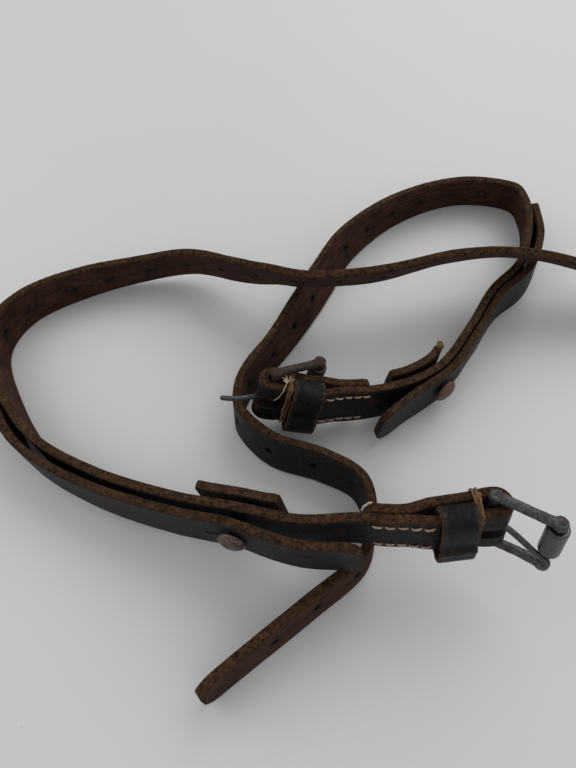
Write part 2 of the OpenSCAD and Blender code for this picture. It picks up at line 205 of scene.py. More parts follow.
def profile(half, h, b, across):
    """A ribbon's outline as (thickness, width, grain, edge) rows. Thickness + is flesh."""
    b = min(b, half * 0.9, h * 0.9)
    rows = []
    face = np.linspace(-(half - b), half - b, across)
    for w in face:
        rows.append((-h, w, 1, 0.55 * max(0, 1 - (half - abs(w)) / 3.2)))
    for a in (25, 50, 75):
        a = math.radians(a)
        rows.append((-h + b - b * math.cos(a), half - b + b * math.sin(a), 1 - a / 1.2, a / 1.2))
    rows.append((0, half + 0.08, 0, 1))
    for a in (75, 50, 25):
        a = math.radians(a)
        rows.append((h - b + b * math.cos(a), half - b + b * math.sin(a), 0, a / 1.2))
    for w in face[::-1]:
        rows.append((h, w, 0, 0.4 * max(0, 1 - (half - abs(w)) / 3.0)))
    for a in (25, 50, 75):
        a = math.radians(a)
        rows.append((h - b + b * math.cos(a), -(half - b) - b * math.sin(a), 0, a / 1.2))
    rows.append((0, -half - 0.08, 0, 1))
    for a in (75, 50, 25):
        a = math.radians(a)
        rows.append((-h + b - b * math.cos(a), -(half - b) - b * math.sin(a), 1 - a / 1.2, a / 1.2))
    return np.clip(np.array(rows), [-99, -99, 0, 0], [99, 99, 1, 1])


def ribbon(name, rings, h, across=13, bevel=0.55, wear=1.0, seed=0.0, marks=()):
    """Sweeps a worn leather ribbon. Each ring is (centre, thickness dir, width dir, half, arc).

    Marks are (arc, half size) places that go darker and sink a little, such as round a hole."""
    n = len(profile(STRAP_W / 2, h, bevel, across))
    verts, mask, uv = [], [], []
    for centre, td, wd, half, arc in rings:
        rows = profile(half, h, bevel, across)
        v = 0.0
        for j, (t, w, grain, edge) in enumerate(rows):
            face = 1 - edge
            rough = edge * (0.22 * grit(arc * 0.9, w, seed) + 0.12 * grit(arc * 2.6, t, seed + 5))
            nibble = edge * -0.45 * max(0.0, grit(arc * 0.28, math.copysign(9, w), seed) - 0.25)
            puff = face * (0.10 * grit(arc * 0.16, w * 0.2, seed + 3)
                           + 0.05 * grit(arc * 0.7, w * 0.7, seed + 9))
            near = max([math.exp(-((arc - m[0]) / m[1]) ** 2 - (w / m[1]) ** 2) for m in marks
                        if abs(arc - m[0]) < 3 * m[1]] or [0.0])
            t2 = t + math.copysign(1, t) * (puff - 0.16 * near) * wear if abs(t) > 0.01 else t
            w2 = w + math.copysign(1, w) * (rough + nibble) * wear
            verts.append(centre + t2 * td + w2 * wd)
            mask.append((grain, edge, near, 1.0))
            if j:
                v += math.hypot(rows[j][0] - rows[j - 1][0], rows[j][1] - rows[j - 1][1])
            uv.append((arc * 0.1, v * 0.1 + seed))
    faces = []
    last = len(rings) - 1
    for i in range(last):
        for j in range(n):
            k = (j + 1) % n
            faces.append((i * n + j, i * n + k, (i + 1) * n + k, (i + 1) * n + j))
    faces.append(tuple(range(n - 1, -1, -1)))
    faces.append(tuple(last * n + j for j in range(n)))
    obj = new_object(name, verts, faces)
    mesh = obj.data
    attribute = mesh.color_attributes.new("mask", "FLOAT_COLOR", "POINT")
    attribute.data.foreach_set("color", np.array(mask, np.float32).ravel())
    layer = mesh.uv_layers.new(name="run")
    idx = np.zeros(len(mesh.loops), np.int32)
    mesh.loops.foreach_get("vertex_index", idx)
    layer.data.foreach_set("uv", np.array(uv, np.float32)[idx].ravel())
    outward(obj)
    return obj


def tube(name, points, radii, sides=12):
    """A round wire along points, with a radius at each."""
    p = np.array(points, float)
    r = np.full(len(p), radii) if np.isscalar(radii) else np.array(radii, float)
    tan = np.gradient(p, axis=0)
    tan /= np.linalg.norm(tan, axis=1)[:, None] + 1e-12
    a = unit(np.cross(tan[0], ODD_DIRECTION))
    verts, faces = [], []
    for i in range(len(p)):
        a = unit(a - (a @ tan[i]) * tan[i])
        b = np.cross(tan[i], a)
        for j in range(sides):
            q = 2 * math.pi * j / sides
            verts.append(p[i] + r[i] * (math.cos(q) * a + math.sin(q) * b))
    for i in range(len(p) - 1):
        for j in range(sides):
            k = (j + 1) % sides
            faces.append((i * sides + j, i * sides + k, (i + 1) * sides + k, (i + 1) * sides + j))
    faces.append(tuple(range(sides - 1, -1, -1)))
    faces.append(tuple((len(p) - 1) * sides + j for j in range(sides)))
    return new_object(name, verts, faces)


def lathe(name, origin, axis, outline, sides=64):
    """Turns (radius, height) rows about an axis through origin."""
    a = unit(np.cross(axis, ODD_DIRECTION))
    b = np.cross(axis, a)
    verts = [origin + z * axis + r * (math.cos(q) * a + math.sin(q) * b)
             for r, z in outline for q in np.arange(sides) * 2 * math.pi / sides]
    faces = [(i * sides + j, i * sides + (j + 1) % sides, (i + 1) * sides + (j + 1) % sides,
              (i + 1) * sides + j) for i in range(len(outline) - 1) for j in range(sides)]
    obj = new_object(name, verts, faces)
    bm = bmesh.new()
    bm.from_mesh(obj.data)
    bmesh.ops.remove_doubles(bm, verts=bm.verts, dist=0.005 * MM)
    bmesh.ops.holes_fill(bm, edges=bm.edges, sides=0)
    bmesh.ops.recalc_face_normals(bm, faces=bm.faces)
    bm.to_mesh(obj.data)
    bm.free()
    obj.data.polygons.foreach_set("use_smooth", [True] * len(obj.data.polygons))
    return obj


def joined(name, parts):
    """Joins pieces into the first one."""
    bpy.ops.object.select_all(action="DESELECT")
    for p in parts:
        p.select_set(True)
    bpy.context.view_layer.objects.active = parts[0]
    bpy.ops.object.join()
    parts[0].name = name
    parts[0].data.name = name
    return parts[0]


def applied(obj):
    """Bakes an object's modifiers into its mesh."""
    dg = bpy.context.evaluated_depsgraph_get()
    mesh = bpy.data.meshes.new_from_object(obj.evaluated_get(dg), preserve_all_data_layers=True,
                                           depsgraph=dg)
    obj.modifiers.clear()
    obj.data = mesh
    return obj


def fused(obj, voxel):
    """Welds overlapping shapes into one skin, with soft fillets where they meet."""
    m = obj.modifiers.new("weld", "REMESH")
    m.mode, m.voxel_size, m.use_smooth_shade = "VOXEL", voxel * MM, True
    s = obj.modifiers.new("soften", "SMOOTH")
    s.factor, s.iterations = 0.5, 6
    return applied(obj)


def hammer(obj, depth, scale, seed):
    """Small dents in a metal skin."""
    normals = [v.normal.copy() for v in obj.data.vertices]
    for v, normal in zip(obj.data.vertices, normals):
        q = v.co / MM
        d = noise.noise(q * scale + Vector((seed, 0, 0))) + 0.5 * noise.noise(q * scale * 2.7)
        v.co += normal * d * depth * MM


def cut(obj, cutter, colour):
    """Takes the cutter's shape out of an object, and gives the cut faces a material."""
    cutter.data.materials.append(colour)
    m = obj.modifiers.new("cut", "BOOLEAN")
    m.operation, m.object, m.solver = "DIFFERENCE", cutter, "EXACT"
    m.material_mode = "TRANSFER"
    applied(obj)
    mesh = cutter.data
    bpy.data.objects.remove(cutter)
    bpy.data.meshes.remove(mesh)


def prism(name, origin, x, y, z, outline, depth):
    """An outline in the x, z plane, pushed through along y."""
    n = len(outline)
    verts = [origin + a * x + b * z + d * y for d in (-depth, depth) for a, b in outline]
    faces = [(i, (i + 1) % n, n + (i + 1) % n, n + i) for i in range(n)]
    faces += [tuple(range(n - 1, -1, -1)), tuple(range(n, 2 * n))]
    obj = new_object(name, verts, faces, smooth=False)
    outward(obj)
    return obj


# ---- Materials -------------------------------------------------------------

class Nodes:
    """A material's node tree, with one short call for each kind of node it needs."""

    def __init__(self, name):
        self.mat = bpy.data.materials.new(name)
        self.mat.use_nodes = True
        self.tree = self.mat.node_tree
        self.bsdf = self.tree.nodes["Principled BSDF"]

    def add(self, kind, settings=None, **inputs):
        node = self.tree.nodes.new("ShaderNode" + kind)
        for k, v in (settings or {}).items():
            setattr(node, k, v)
        for k, v in inputs.items():
            self.put(node, k.replace("_", " "), v)
        return node

    def put(self, node, key, value):
        socket = node.inputs[int(key)] if key.isdigit() else node.inputs[key]
        if isinstance(value, bpy.types.NodeSocket):
            self.tree.links.new(value, socket)
        else:
            socket.default_value = value

    def noise(self, vector, scale, detail=4.0, rough=0.55, stretch=(1, 1, 1)):
        m = self.add("Mapping", Vector=vector, Scale=stretch)
        return self.add("TexNoise", Vector=m.outputs[0], Scale=scale, Detail=detail,
                        Roughness=rough).outputs["Fac"]

    def ramp(self, fac, low, high):
        return self.add("MapRange", Value=fac, From_Min=low, From_Max=high).outputs[0]

    def math(self, op, a, b=0.0):
        node = self.add("Math", {"operation": op})
        self.put(node, "0", a)
        self.put(node, "1", b)
        return node.outputs[0]

    def mix(self, fac, a, b):
        node = self.add("Mix", {"data_type": "RGBA"})
        self.put(node, "0", fac)
        self.put(node, "6", a if isinstance(a, bpy.types.NodeSocket) else (*a, 1))
        self.put(node, "7", b if isinstance(b, bpy.types.NodeSocket) else (*b, 1))
        return node.outputs[2]

    def bump(self, height, strength, distance):
        node = self.add("Bump", Strength=strength, Distance=distance * MM, Height=height)
        return node.outputs[0]

    def out(self, colour, rough, normal, specular=0.5):
        self.put(self.bsdf, "Base Color", colour)
        self.put(self.bsdf, "Roughness", rough)
        self.put(self.bsdf, "Normal", normal)
        self.bsdf.inputs["Specular IOR Level"].default_value = specular
        return self.mat


def leather(name, grain_low, grain_high, flesh_low, flesh_high, edge_low, edge_high,
            crack=0.6, specular=0.16, gloss=0.5):
    """Old leather: a cracked black grain face, a fibrous flesh face and worn edges."""
    n = Nodes(name)
    uv = n.add("UVMap", {"uv_map": "run"}).outputs[0]
    place = n.add("TexCoord").outputs["Object"]
    mask = n.add("Attribute", {"attribute_name": "mask"}).outputs["Color"]
    parts = n.add("SeparateColor", Color=mask)
    grain, edge, mark = parts.outputs[0], parts.outputs[1], parts.outputs[2]
    patches = n.noise(place, 90.0, 5.0, 0.6)
    fine = n.noise(place, 900.0, 5.0, 0.65)
    fibres = n.noise(uv, 3.0, 6.0, 0.7, (0.45, 3.2, 1))
    hairs = n.noise(place, 1100.0, 5.0, 0.75)
    clumps = n.noise(place, 620.0, 4.0, 0.7)
    slant = n.add("Mapping", Vector=uv, Scale=(2.6, 1.1, 1), Rotation=(0, 0, 0.18)).outputs[0]
    bent = n.add("VectorMath", {"operation": "ADD"})
    n.put(bent, "0", slant)
    n.put(bent, "1", n.add("TexNoise", Vector=uv, Scale=4.0, Detail=3.0).outputs["Color"])
    cells = n.add("TexVoronoi", {"feature": "DISTANCE_TO_EDGE"}, Vector=bent.outputs[0],
                  Scale=3.2).outputs["Distance"]
    cracks = n.ramp(cells, 0.045, 0.0)
    cracks = n.math("MULTIPLY", cracks, n.ramp(patches, 0.42, 0.62))
    scuff = n.math("MULTIPLY", n.ramp(fine, 0.48, 0.72), n.ramp(patches, 0.35, 0.65))
    face = n.mix(scuff, grain_low, grain_high)
    bare = n.ramp(n.math("ADD", n.noise(place, 150.0, 6.0, 0.7), n.math("MULTIPLY", fine, 0.4)),
                  0.74, 0.86)
    face = n.mix(n.math("MULTIPLY", bare, 0.75), face, n.mix(hairs, edge_low, flesh_high))
    face = n.mix(n.math("MULTIPLY", cracks, crack), face, (0.006, 0.004, 0.003))
    back = n.mix(n.ramp(fibres, 0.36, 0.66), flesh_low, flesh_high)
    back = n.mix(n.math("MULTIPLY", n.ramp(patches, 0.52, 0.72), 0.6), back,
                 [c * 0.45 for c in flesh_low])
    rim = n.mix(n.ramp(n.math("ADD", hairs, clumps), 0.85, 1.20), edge_low, edge_high)
    rim = n.mix(n.ramp(fine, 0.60, 0.74), rim, [c * 1.5 for c in edge_high])
    colour = n.mix(grain, back, face)
    worn = n.ramp(n.math("ADD", edge, n.math("MULTIPLY", fine, 0.5)), 0.55, 1.0)
    colour = n.mix(worn, colour, rim)
    colour = n.mix(n.math("MULTIPLY", mark, 0.75), colour, (0.008, 0.005, 0.004))
    rough = n.add("MapRange", Value=grain, To_Min=0.9, To_Max=gloss).outputs[0]
    rough = n.math("ADD", rough, n.math("MULTIPLY", scuff, 0.2))
    height = n.math("ADD", n.math("MULTIPLY", fibres, 0.7), n.math("MULTIPLY", hairs, 0.5))
    height = n.math("SUBTRACT", height, n.math("MULTIPLY", cracks, 0.8))
    height = n.math("ADD", height, n.math("MULTIPLY", fine, 0.7))
    height = n.math("ADD", height, n.math("MULTIPLY", clumps, edge))
    return n.out(colour, rough, n.bump(height, 0.85, 0.5), specular=specular)


def steel(name, low, high, rust, rust_amount, rough_low, rough_high, metal=0.85):
    """Worn metal with rust in patches and fine pits."""
    n = Nodes(name)
    place = n.add("TexCoord").outputs["Object"]
    broad = n.noise(place, 220.0, 4.0, 0.55)
    fine = n.noise(place, 1500.0, 5.0, 0.65)
    pits = n.add("TexVoronoi", Vector=place, Scale=1400.0).outputs["Distance"]
    tone = n.mix(n.ramp(fine, 0.35, 0.7), low, high)
    spread = n.math("ADD", n.math("MULTIPLY", broad, 0.8), n.math("MULTIPLY", fine, 0.35))
    rusty = n.ramp(spread, 0.78 - 0.32 * rust_amount, 0.86 - 0.24 * rust_amount)
    colour = n.mix(rusty, tone, n.mix(fine, [c * 0.4 for c in rust], rust))
    rough = n.add("MapRange", Value=fine, To_Min=rough_low, To_Max=rough_high).outputs[0]
    rough = n.math("ADD", rough, n.math("MULTIPLY", rusty, 0.3))
    height = n.math("ADD", n.math("MULTIPLY", fine, 0.6), n.math("MULTIPLY", pits, 0.4))
    height = n.math("ADD", height, n.math("MULTIPLY", broad, 0.6))
    mat = n.out(colour, rough, n.bump(height, 0.55, 0.22), specular=0.5)
    n.put(n.bsdf, "Metallic", n.add("MapRange", Value=rusty, To_Min=metal,
                                    To_Max=0.1).outputs[0])
    return mat


def thread(name, low, high):
    """Dull waxed thread of uneven colour, with a slanting ripple like its plies."""
    n = Nodes(name)
    place = n.add("TexCoord").outputs["Object"]
    fine = n.noise(place, 2600.0, 4.0, 0.7)
    broad = n.noise(place, 260.0, 3.0, 0.6)
    plies = n.add("TexWave", {"bands_direction": "DIAGONAL"}, Vector=place, Scale=620.0,
                  Distortion=1.5).outputs["Fac"]
    colour = n.mix(n.ramp(n.math("ADD", fine, n.math("MULTIPLY", broad, 0.6)), 0.55, 1.05),
                   low, high)
    height = n.math("ADD", plies, fine)
    return n.out(colour, 0.85, n.bump(height, 0.6, 0.12), specular=0.2)


# Leather colours are dark and light pairs: the grain face, the flesh face, then the edges.
STRAP_LEATHER = leather("strap_leather", (0.003, 0.003, 0.0032), (0.019, 0.019, 0.018),
                        (0.020, 0.0075, 0.0045), (0.085, 0.034, 0.022),
                        (0.016, 0.0075, 0.004), (0.085, 0.042, 0.018))
OVERLAY_LEATHER = leather("overlay_leather", (0.005, 0.006, 0.006), (0.050, 0.057, 0.057),
                          (0.022, 0.011, 0.007), (0.070, 0.038, 0.022),
                          (0.016, 0.0075, 0.004), (0.078, 0.038, 0.017), 0.9)
KEEPER_LEATHER = leather("keeper_leather", (0.003, 0.0035, 0.004), (0.010, 0.012, 0.0125),
                         (0.014, 0.008, 0.005), (0.040, 0.022, 0.013),
                         (0.030, 0.015, 0.009), (0.130, 0.070, 0.042), 0.3, 0.16, 0.42)
PATCH_LEATHER = leather("patch_leather", (0.008, 0.006, 0.005), (0.036, 0.028, 0.024),
                        (0.018, 0.010, 0.007), (0.060, 0.034, 0.022),
                        (0.018, 0.009, 0.005), (0.080, 0.040, 0.020), 0.7)
CUT_LEATHER = leather("cut_leather", (0.006, 0.003, 0.002), (0.022, 0.011, 0.007),
                      (0.006, 0.003, 0.002), (0.022, 0.011, 0.007),
                      (0.006, 0.003, 0.002), (0.022, 0.011, 0.007), 0.2)
SCRAP_LEATHER = leather("scrap_leather", (0.10, 0.055, 0.028), (0.24, 0.15, 0.08),
                        (0.10, 0.055, 0.028), (0.24, 0.15, 0.08),
                        (0.08, 0.040, 0.020), (0.26, 0.17, 0.09), 0.2)
# Metal: dark, light and rust colours, how far the rust spreads, and the roughness range.
FRAME_STEEL = {"left": steel("frame_steel", (0.034, 0.035, 0.036), (0.135, 0.137, 0.138),
                             (0.060, 0.022, 0.010), 0.5, 0.40, 0.62),
               "right": steel("frame_steel_rusty", (0.020, 0.014, 0.011), (0.075, 0.055, 0.042),
                              (0.050, 0.022, 0.012), 0.8, 0.45, 0.7, 0.6)}
ROLLER_STEEL = {"left": steel("roller_steel", (0.050, 0.047, 0.052), (0.130, 0.121, 0.134),
                              (0.06, 0.03, 0.02), 0.15, 0.30, 0.45),
                "right": steel("roller_steel_dark", (0.020, 0.017, 0.015), (0.07, 0.055, 0.045),
                               (0.06, 0.03, 0.018), 0.5, 0.45, 0.7, 0.6)}
TONGUE_STEEL = steel("tongue_steel", (0.035, 0.036, 0.036), (0.13, 0.13, 0.132),
                     (0.07, 0.028, 0.014), 0.45, 0.38, 0.6)
STUD_METAL = {"left": steel("stud_metal", (0.06, 0.04, 0.032), (0.22, 0.17, 0.15),
                            (0.11, 0.04, 0.02), 0.55, 0.3, 0.5),
              "right": steel("stud_metal_brown", (0.075, 0.035, 0.025), (0.19, 0.10, 0.075),
                             (0.12, 0.045, 0.025), 0.6, 0.35, 0.6, 0.5)}
STITCH = thread("stitch_thread", (0.24, 0.15, 0.085), (0.58, 0.43, 0.29))
BINDING = thread("binding_thread", (0.09, 0.045, 0.024), (0.27, 0.16, 0.085))
FRAYED = thread("frayed_thread", (0.30, 0.22, 0.15), (0.62, 0.52, 0.40))


def finish_piece(obj, side, part, body, mat=None):
    """Puts a piece in place of its CAD node, on that node's body."""
    if mat:
        obj.data.materials.clear()
        obj.data.materials.append(mat)
    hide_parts(f"{side}_{part}")
    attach(obj, f"{side}_{body}")
    return obj


def trimming(obj, side, mat):
    """A scrap or loose thread that belongs to a strap and has no CAD node of its own."""
    obj.data.materials.append(mat)
    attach(obj, f"{side}_strap")
    return obj


# ---- Leather ---------------------------------------------------------------

def rounded_half(d, half=STRAP_W / 2, r=5.0):
    """Half the width at a distance d from a rounded end."""
    return half if d >= r else half - r + math.sqrt(max(0.0, r * r - (r - d) ** 2))


def main_rings(o):
    """Rings from the returned layer's end, round the fold and on to the tail."""
    half = STRAP_W / 2
    c0, forward, flesh, up, _ = o.section(0)
    rings = []
    for s in np.arange(RETURN_LEN, 1.0, -STATION):
        c = o.section(s)
        h = half if s < RETURN_LEN - 0.8 else half - 0.5
        rings.append([c[0] + (MID + half_apart(s)) * c[2], -c[2], c[3], h])
    fold_r = (LAYER_GAP[0][1] + STRAP_T) / 2
    middle = c0 + MID * flesh
    for a in np.radians(np.arange(0, 181, 9)):
        inward = -math.cos(a) * flesh + math.sin(a) * forward
        rings.append([middle - fold_r * inward, inward, up, half])
    run_from = len(rings)
    for s in np.arange(1.0, o.length - 5, STATION):
        c = o.section(s)
        rings.append([c[0] + (MID - half_apart(s)) * c[2], c[2], c[3], half])
    for d in (5, 4.2, 3.4, 2.6, 1.9, 1.2, 0.7, 0.3, 0.05):
        c = o.section(o.length - d)
        rings.append([c[0], c[2], c[3], rounded_half(d)])
    arcs = [0.0]
    for a, b in zip(rings, rings[1:]):
        arcs.append(arcs[-1] + float(np.linalg.norm(b[0] - a[0])))
    shift = arcs[run_from] - 1.0
    return [(*r, a - shift) for r, a in zip(rings, arcs)]


def hole_outline():
    """A round hole with a short cut to each side."""
    r, tip = HOLE_D / 2, HOLE_CUT / 2
    pts = []
    for a in np.radians(np.arange(0, 360, 15)):
        x, z = r * math.cos(a), r * math.sin(a) * 0.9
        if abs(math.sin(a)) < 0.2:
            x = math.copysign(tip, x)
        pts.append((x, z))
    return pts


def make_main(o):
    """The long strap, with its punched holes, tongue slot and stud hole cut through."""
    marks = [(o.hole + i * o.pitch, 2.3) for i in range(o.holes)]
    obj = ribbon(f"{o.side}_main_leather", main_rings(o), STRAP_T / 2, seed=3.1 * o.sign,
                 marks=marks)
    obj.data.materials.append(STRAP_LEATHER)
    cutters = []
    for i in range(o.holes):
        c = o.section(o.hole + i * o.pitch)
        cutters.append(prism("hole", c[0], np.cross(c[2], c[3]), c[2], c[3], hole_outline(), 5))
    p, x, y, z = o.heel()
    slot = [(-4.5, -1.5), (-4, -2.2), (8.5, -2.2), (8.5, 2.2), (-4, 2.2), (-4.5, 1.5)]
    cutters.append(prism("slot", p - 0.2 * o.drop * z, x, y, z, slot, 9))
    c = o.section(o.stud)
    disc = [(1.75 * math.cos(a), 1.75 * math.sin(a)) for a in np.arange(16) * math.pi / 8]
    cutters.append(prism("stud_hole", c[0], np.cross(c[2], c[3]), c[2], c[3], disc, 3))
    cut(obj, joined("cutters", cutters), CUT_LEATHER)
    return finish_piece(obj, o.side, "main_strap", "strap")


def make_overlay(o):
    """The shorter strap on the grain side, with a keyhole that buttons over the stud."""
    rings = []
    for s in np.concatenate([o.tip + np.array([0.05, 0.3, 0.7, 1.2, 1.9, 2.6, 3.4, 4.2]),
                             np.arange(o.tip + 5, o.end, STATION)]):
        c = o.section(s)
        h = rounded_half(s - o.tip)
        rings.append((c[0] - table(o.offset, s, 3.0) * c[4], c[2], c[3], h, s))
    obj = ribbon(f"{o.side}_overlay_leather", rings, STRAP_T / 2 - 0.05, seed=11.7 * o.sign,
                 marks=[(o.stud, 4.6)])
    obj.data.materials.append(OVERLAY_LEATHER)
    c = o.section(o.stud)
    base = c[0] - table(o.offset, o.stud) * c[4]
    x = np.cross(c[2], c[3])
    x = x if x @ c[1] > 0 else -x
    keyhole = [(2.2 * math.cos(a), 2.2 * math.sin(a)) for a in np.radians(np.arange(15, 346, 15))]
    keyhole = [(9, 0.35), *keyhole, (9, -0.35)]
    cut(obj, prism("keyhole", base, x, c[2], c[3], keyhole, 2.4), CUT_LEATHER)
    return finish_piece(obj, o.side, "overlay_strap", "strap")


def make_patch(o):
    """The short leather patch behind the stud, its ends curling away from the strap."""
    rings = []
    start, stop = o.patch - PATCH_LEN / 2, o.patch + PATCH_LEN / 2
    for s in np.arange(start, stop + 0.1, 0.5):
        c = o.section(s)
        end = min(s - start, stop - s)
        h = rounded_half(end + 0.4, STRAP_W / 2 - 0.3, 2.2)
        curl = 0.5 * (1 - fade(end, 0, 5)) ** 2
        rings.append((c[0] + (PATCH_OFFSET + curl) * c[2], c[2], c[3], h, s))
    obj = ribbon(f"{o.side}_patch_leather", rings, STRAP_T / 2, wear=1.6, seed=21.3 * o.sign,
                 marks=[(o.stud, 3.5)])
    return finish_piece(obj, o.side, "stud_patch", "strap", PATCH_LEATHER)


def make_keeper(o):
    """The band round both layers, creased across its near face."""
    c = o.section(FOLD_SLACK + o.keeper + KEEPER_W / 2)
    base = c[0] + MID * c[2]
    x = np.cross(c[2], c[3])
    line = smooth_line(KEEPER_LINE, 8)
    pts = [base - p[0] * c[2] + p[1] * c[3] for p in line]
    rings, arc = [], 0.0
    for i, p in enumerate(pts):
        t = unit(pts[min(i + 1, len(pts) - 1)] - pts[max(i - 1, 0)])
        arc += float(np.linalg.norm(p - pts[i - 1])) if i else 0.0
        sway = 0.25 * grit(arc * 0.15, 4.0, o.sign * 3)
        inward = np.cross(t, x)
        if inward @ (base - 3.5 * c[2] - p) < 0:
            inward = -inward
        level = (p - base) @ c[3]
        crease = 0.45 * math.exp(-((level - 0.4) / 1.3) ** 2) - 0.5 * math.exp(
            -((level + 2.2) / 1.1) ** 2)
        pinch = crease * fade((base - p) @ c[2], 4, 6)
        rings.append((p + sway * x + pinch * inward, inward, x, KEEPER_W / 2, arc))
    obj = ribbon(f"{o.side}_keeper_band", rings, KEEPER_T / 2, across=11, bevel=0.4, wear=0.7,
                 seed=31.9 * o.sign)
    return finish_piece(obj, o.side, "keeper", "strap", KEEPER_LEATHER)


# ---- Thread ----------------------------------------------------------------

def stitch(a, b, out, d):
    """A stitch from a to b that rises out of the leather and sinks back, two plies twisted."""
    ts = np.linspace(0, 1, 15)
    rise = np.clip(np.sin(np.pi * ts), 0, 1) ** 0.35
    core = [a + (b - a) * t + out * (0.62 * r - 0.5) * d for t, r in zip(ts, rise)]
    along = unit(b - a)
    side = np.cross(along, out)
    plies = []
    for k in (0, 1):
        pts = [p + d * 0.15 * (math.cos(9 * t + k * math.pi) * out
                               + math.sin(9 * t + k * math.pi) * side)
               for p, t in zip(core, ts)]
        plies.append(tube("ply", pts, d * 0.3, 8))
    return plies


def make_stitches(o, part, height):
    """One row of stitches, seen on the main layer and on the returned layer."""
    first = FOLD_SLACK + o.keeper + KEEPER_W + 1.1
    plies = []
    count = 5
    for i in range(count):
        s = first + i * STITCH_PITCH
        for outward_dir, place in ((-1, MID - half_apart(s)), (1, MID + half_apart(s))):
            lie = place + outward_dir * (STRAP_T / 2 + 0.15)
            a = o.spot(s + 0.2 * grit(i * 0.37, 3.3, 0.5), lie,
                       height + 0.25 * grit(i * 0.37, 1.5, height))
            b = o.spot(s + STITCH_LEN, lie, height + 0.25 * grit(i * 0.37, 8.5, height))
            plies += stitch(a, b, outward_dir * o.section(s)[2], 0.78)
    obj = joined(f"{o.side}_{part}_thread", plies)
    return finish_piece(obj, o.side, part, "strap", STITCH)


def make_join_stitches(o):
    """Stitches that hold the overlay's far end."""
    plies = []
    for height in (-5.5, 0, 5.5):
        for i in (0, 1):
            s = o.end - 7 + i * 3.4
            lie = STRAP_T / 2 + 0.15
            c = o.section(s)
            a = c[0] - table(o.offset, s) * c[4] - lie * c[2] + height * c[3]
            e = o.section(s + 2.5)
            b = e[0] - table(o.offset, s + 2.5) * e[4] - lie * e[2] + height * e[3]
            plies += stitch(a, b, -c[2], 0.9)
    obj = joined(f"{o.side}_join_thread", plies)
    return finish_piece(obj, o.side, "join_stitches", "strap", STITCH)


def make_binding(o):
    """Worn thread bound round both layers between the fold and the keeper."""
    s0 = FOLD_SLACK + o.keeper - 0.9
    strands = []
    for k in range(4):
        s = s0 - 0.35 + 0.34 * k
        lay = half_apart(s) + STRAP_T / 2 + 0.22
        top = STRAP_W / 2 + 0.24
        loop = [(-lay, top), (0, top + 0.05), (lay, top), (lay, 0), (lay, -top), (0, -top - 0.05),
                (-lay, -top), (-lay, -3), (-lay, 3), (-lay, top), (0, top + 0.1)]
        pts = []
        for i, q in enumerate(smooth_line(loop, 8)):
            drift = 0.55 * grit(i * 0.09, k * 4.1, o.sign) + 0.12 * grit(i * 0.5, k * 2.3, 0.5)
            pts.append(o.spot(s + drift, MID + q[0], q[1]))
        strands.append(tube("strand", pts, 0.17 + 0.03 * (k % 2), 8))
    obj = joined(f"{o.side}_binding", strands)
    return finish_piece(obj, o.side, "keeper_thread", "strap", BINDING)


# ---- Metal -----------------------------------------------------------------

def make_stud(o):
    """Domed head on the grain side, neck through the straps, flange and riveted end."""
    c = o.section(o.stud)
    under = table(o.offset, o.stud) + STRAP_T / 2 + 0.7
    flange = STRAP_T / 2 + 0.3
    end = PATCH_OFFSET + STRAP_T / 2 + WASHER_T + 0.7
    r = STUD_D / 2
    dome = [(r * math.cos(a), under + 0.5 + 2.1 * math.sin(a)) for a in
            np.radians(np.arange(90, -1, -7.5))]
    dome[0] = (0.0, dome[0][1])
    rows = dome + [(r + 0.02, under + 0.25), (r - 0.15, under + 0.03), (r - 0.5, under),
                   (2.2, under), (1.75, under - 0.4), (1.7, -flange + 0.3), (2.0, -flange),
                   (3.8, -flange), (4.0, -flange - 0.2), (4.0, -flange - 1.0),
                   (3.8, -flange - FLANGE_T), (1.3, -flange - FLANGE_T), (1.2, -end + 0.2),
                   (1.0, -end), (0.0, -end)]
    obj = lathe(f"{o.side}_stud_metal", c[0], -c[2], rows)
    hammer(obj, 0.06, 0.55, o.sign * 2.0)
    return finish_piece(obj, o.side, "stud", "strap", STUD_METAL[o.side])


def make_washer(o):
    """The small disc behind the patch, under the stud's riveted end."""
    c = o.section(o.stud)
    base = c[0] + (PATCH_OFFSET + STRAP_T / 2 + 0.25) * c[2]
    rows = [(1.3, 0.0), (3.0, 0.0), (3.2, 0.15), (3.25, 0.4), (3.15, 0.65), (2.9, WASHER_T),
            (1.5, WASHER_T), (1.3, 0.65), (1.3, 0.0)]
    obj = lathe(f"{o.side}_washer_metal", base, c[2], rows)
    return finish_piece(obj, o.side, "stud_washer", "strap", STUD_METAL[o.side])


def disc_rows(r, h, edge):
    """The outline of a disc with rounded edges."""
    return [(0, -h), (r - edge, -h), (r - edge * 0.3, -h + edge * 0.3), (r, -h + edge),
            (r, h - edge), (r - edge * 0.3, h - edge * 0.3), (r - edge, h), (0, h + 0.02)]


